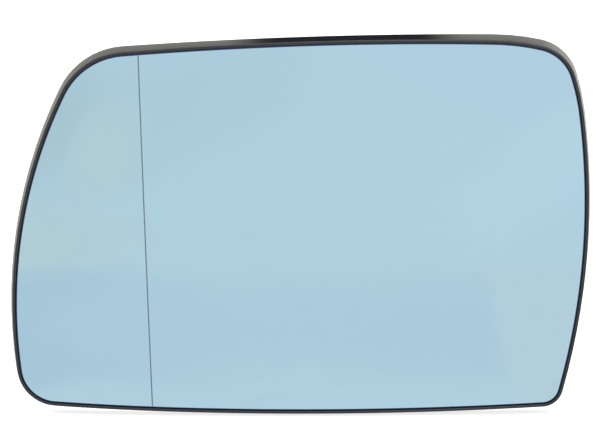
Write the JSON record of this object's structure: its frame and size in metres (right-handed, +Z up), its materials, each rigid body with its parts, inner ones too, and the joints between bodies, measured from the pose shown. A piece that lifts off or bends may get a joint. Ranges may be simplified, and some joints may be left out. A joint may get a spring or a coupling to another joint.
{
  "type": "car door mirror glass",
  "caption": "Left-hand heated aspheric mirror glass with a blue tint, bonded to a black moulded back plate with a locating ring, snap hooks and blade terminals.",
  "frame": {"origin": "middle of the locating ring's mouth, the plane on which the motor's platform seats", "axes": "+Y along the ring's axis, out of the back towards the motor; the glass faces -Y; +Z up as fitted; +X inboard, away from the wide-view zone"},
  "size_m": [0.197, 0.0196, 0.1295],
  "materials": {
    "tinted_mirror": "polished, blue-tinted, convex",
    "line_print": "thin fired print, matt",
    "heater_foil": "amber film with printed tracks",
    "foam_tape": "dark grey foam, matt",
    "black_moulding": "black, fine grain, satin",
    "tinned_brass": "tin-plated, satin"
  },
  "bodies": {
    "root": {"mirror_glass": "tinted_mirror", "zone_line": "line_print", "heater_film": "heater_foil", "adhesive_pad": "foam_tape", "back_plate": "black_moulding", "heater_terminal_upper": "tinned_brass", "heater_terminal_lower": "tinned_brass"}
  },
  "joints": []
}
